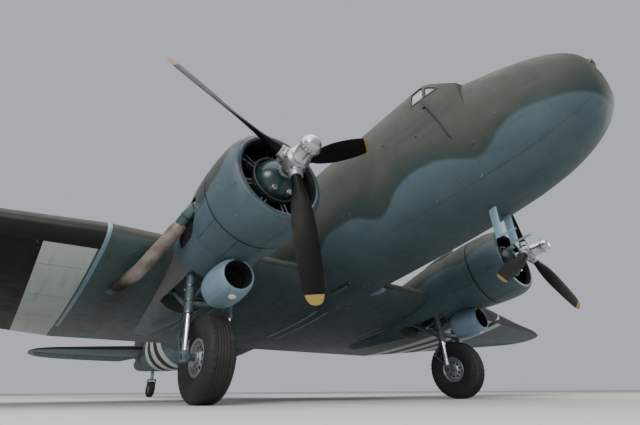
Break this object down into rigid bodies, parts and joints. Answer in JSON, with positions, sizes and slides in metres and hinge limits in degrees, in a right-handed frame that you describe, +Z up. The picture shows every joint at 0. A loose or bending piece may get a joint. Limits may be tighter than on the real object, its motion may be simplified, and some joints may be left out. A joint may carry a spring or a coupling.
{
  "type": "military transport plane",
  "caption": "Twin-engined propeller transport plane with low wing, tail wheel, hollow hold, cargo doors, split flaps and moving control surfaces.",
  "frame": {"origin": "on the floor under the middle of the box", "axes": "+X to port along the span, +Y aft, +Z up; the nose points to -Y"},
  "size_m": [29.11, 19.5962, 5.2033],
  "materials": {
    "airframe_paint": "weathered matt paint, olive drab above and blue-grey below",
    "tyre_rubber": "matt rubber",
    "propeller_paint": "satin black with yellow tips",
    "bare_alloy": "dull bare alloy",
    "steel": "oiled steel",
    "engine_casting": "grey crankcase paint, dark cylinders",
    "rusty_steel": "heat-stained and rusty",
    "interior_green": "matt primer",
    "window_glass": "clear",
    "instrument_black": "matt black"
  },
  "bodies": {
    "airframe": {"wing_centre": "airframe_paint", "outer_wing_port": "airframe_paint", "outer_wing_stbd": "airframe_paint", "nose_section": "airframe_paint", "windscreen_port": "window_glass", "side_window_port": "window_glass", "windscreen_stbd": "window_glass", "side_window_stbd": "window_glass", "cabin_roof": "airframe_paint", "cabin_side_port": "airframe_paint", "cabin_side_stbd": "airframe_paint", "belly_front": "airframe_paint", "belly_rear": "airframe_paint", "cargo_floor": "interior_green", "bench_port": "interior_green", "bench_stbd": "interior_green", "crew_seats": "interior_green", "instrument_panel": "instrument_black", "tail_section": "airframe_paint", "fin": "airframe_paint", "tailplane_port": "airframe_paint", "tailplane_stbd": "airframe_paint", "nacelle_port": "airframe_paint", "cowl_port": "airframe_paint", "engine_port": "engine_casting", "exhaust_port": "rusty_steel", "gear_leg_port": "steel", "nacelle_stbd": "airframe_paint", "cowl_stbd": "airframe_paint", "engine_stbd": "engine_casting", "exhaust_stbd": "rusty_steel", "gear_leg_stbd": "steel", "tail_leg": "steel", "pitot_mast_port": "airframe_paint", "pitot_mast_stbd": "airframe_paint"},
    "flap_centre": {"flap_centre": "airframe_paint"},
    "flap_port": {"flap_port": "airframe_paint"},
    "aileron_port": {"aileron_port": "airframe_paint"},
    "flap_stbd": {"flap_stbd": "airframe_paint"},
    "aileron_stbd": {"aileron_stbd": "airframe_paint"},
    "cargo_door_front": {"cargo_door_front": "airframe_paint"},
    "cargo_door_rear": {"cargo_door_rear": "airframe_paint"},
    "crew_door": {"crew_door": "airframe_paint"},
    "rudder": {"rudder": "airframe_paint"},
    "elevators": {"elevator_port": "airframe_paint", "elevator_stbd": "airframe_paint"},
    "propeller_port": {"propeller_port": "propeller_paint", "propeller_dome_port": "bare_alloy"},
    "main_wheel_port": {"tyre_port": "tyre_rubber", "wheel_port": "bare_alloy"},
    "propeller_stbd": {"propeller_stbd": "propeller_paint", "propeller_dome_stbd": "bare_alloy"},
    "main_wheel_stbd": {"tyre_stbd": "tyre_rubber", "wheel_stbd": "bare_alloy"},
    "tail_fork": {"tail_fork": "steel"},
    "tail_wheel": {"tail_tyre": "tyre_rubber", "tail_wheel": "bare_alloy"}
  },
  "joints": [
    {"name": "hinge_flap_centre", "type": "hinge", "parent": "airframe", "child": "flap_centre", "pos_m": [0, -1.60946, 1.24219], "axis": [1, 0, 0], "range_deg": [-45, 0]},
    {"name": "hinge_flap_port", "type": "hinge", "parent": "airframe", "child": "flap_port", "pos_m": [4.33, -1.60418, 1.24723], "axis": [0.9939, 0.059, 0.0932], "range_deg": [-45, 0]},
    {"name": "hinge_flap_stbd", "type": "hinge", "parent": "airframe", "child": "flap_stbd", "pos_m": [-4.33, -1.60418, 1.24723], "axis": [0.9939, -0.059, -0.0932], "range_deg": [-45, 0]},
    {"name": "hinge_aileron_port", "type": "hinge", "parent": "airframe", "child": "aileron_port", "pos_m": [8.9, -1.56255, 1.79468], "axis": [0.9943, 0.0739, 0.0769], "range_deg": [-20, 20]},
    {"name": "hinge_aileron_stbd", "type": "hinge", "parent": "airframe", "child": "aileron_stbd", "pos_m": [-8.9, -1.56255, 1.79468], "axis": [0.9943, -0.0739, -0.0769], "range_deg": [-20, 20]},
    {"name": "hinge_cargo_door_front", "type": "hinge", "parent": "airframe", "child": "cargo_door_front", "pos_m": [1.15033, 1.30445, 1.51679], "axis": [0, -0.1761, -0.9844], "range_deg": [0, 110]},
    {"name": "hinge_cargo_door_rear", "type": "hinge", "parent": "airframe", "child": "cargo_door_rear", "pos_m": [0.966, 3.37163, 1.14694], "axis": [0, 0.1761, 0.9844], "range_deg": [0, 110]},
    {"name": "hinge_crew_door", "type": "hinge", "parent": "airframe", "child": "crew_door", "pos_m": [1.1206, -6.50175, 2.96931], "axis": [0, -0.1761, -0.9844], "range_deg": [0, 90]},
    {"name": "hinge_rudder", "type": "hinge", "parent": "airframe", "child": "rudder", "pos_m": [0, 8.11028, 1.79755], "axis": [0, 0.1761, 0.9844], "range_deg": [-30, 30]},
    {"name": "hinge_elevators", "type": "hinge", "parent": "airframe", "child": "elevators", "pos_m": [0, 7.46258, 1.5274], "axis": [1, 0, 0], "range_deg": [-20, 30]},
    {"name": "spin_propeller_port", "type": "hinge", "parent": "airframe", "child": "propeller_port", "pos_m": [2.82, -7.18955, 2.64539], "axis": [0, 0.9844, -0.1761], "continuous": true},
    {"name": "spin_propeller_stbd", "type": "hinge", "parent": "airframe", "child": "propeller_stbd", "pos_m": [-2.82, -7.18955, 2.64539], "axis": [0, 0.9844, -0.1761], "continuous": true},
    {"name": "spin_wheel_port", "type": "hinge", "parent": "airframe", "child": "main_wheel_port", "pos_m": [2.82, -5.21506, 0.56512], "axis": [1, 0, 0], "continuous": true},
    {"name": "spin_wheel_stbd", "type": "hinge", "parent": "airframe", "child": "main_wheel_stbd", "pos_m": [-2.82, -5.21506, 0.56512], "axis": [1, 0, 0], "continuous": true},
    {"name": "swivel_tail_fork", "type": "hinge", "parent": "airframe", "child": "tail_fork", "pos_m": [0, 6.33354, 0.66781], "axis": [0, 0.1761, 0.9844], "continuous": true},
    {"name": "spin_tail_wheel", "type": "hinge", "parent": "tail_fork", "child": "tail_wheel", "pos_m": [0, 6.34448, 0.27474], "axis": [1, 0, 0], "continuous": true}
  ],
  "couplings": [
    {"joint": "hinge_flap_port", "follows": "hinge_flap_centre", "ratio": 1},
    {"joint": "hinge_flap_stbd", "follows": "hinge_flap_centre", "ratio": 1},
    {"joint": "hinge_aileron_stbd", "follows": "hinge_aileron_port", "ratio": -1}
  ]
}
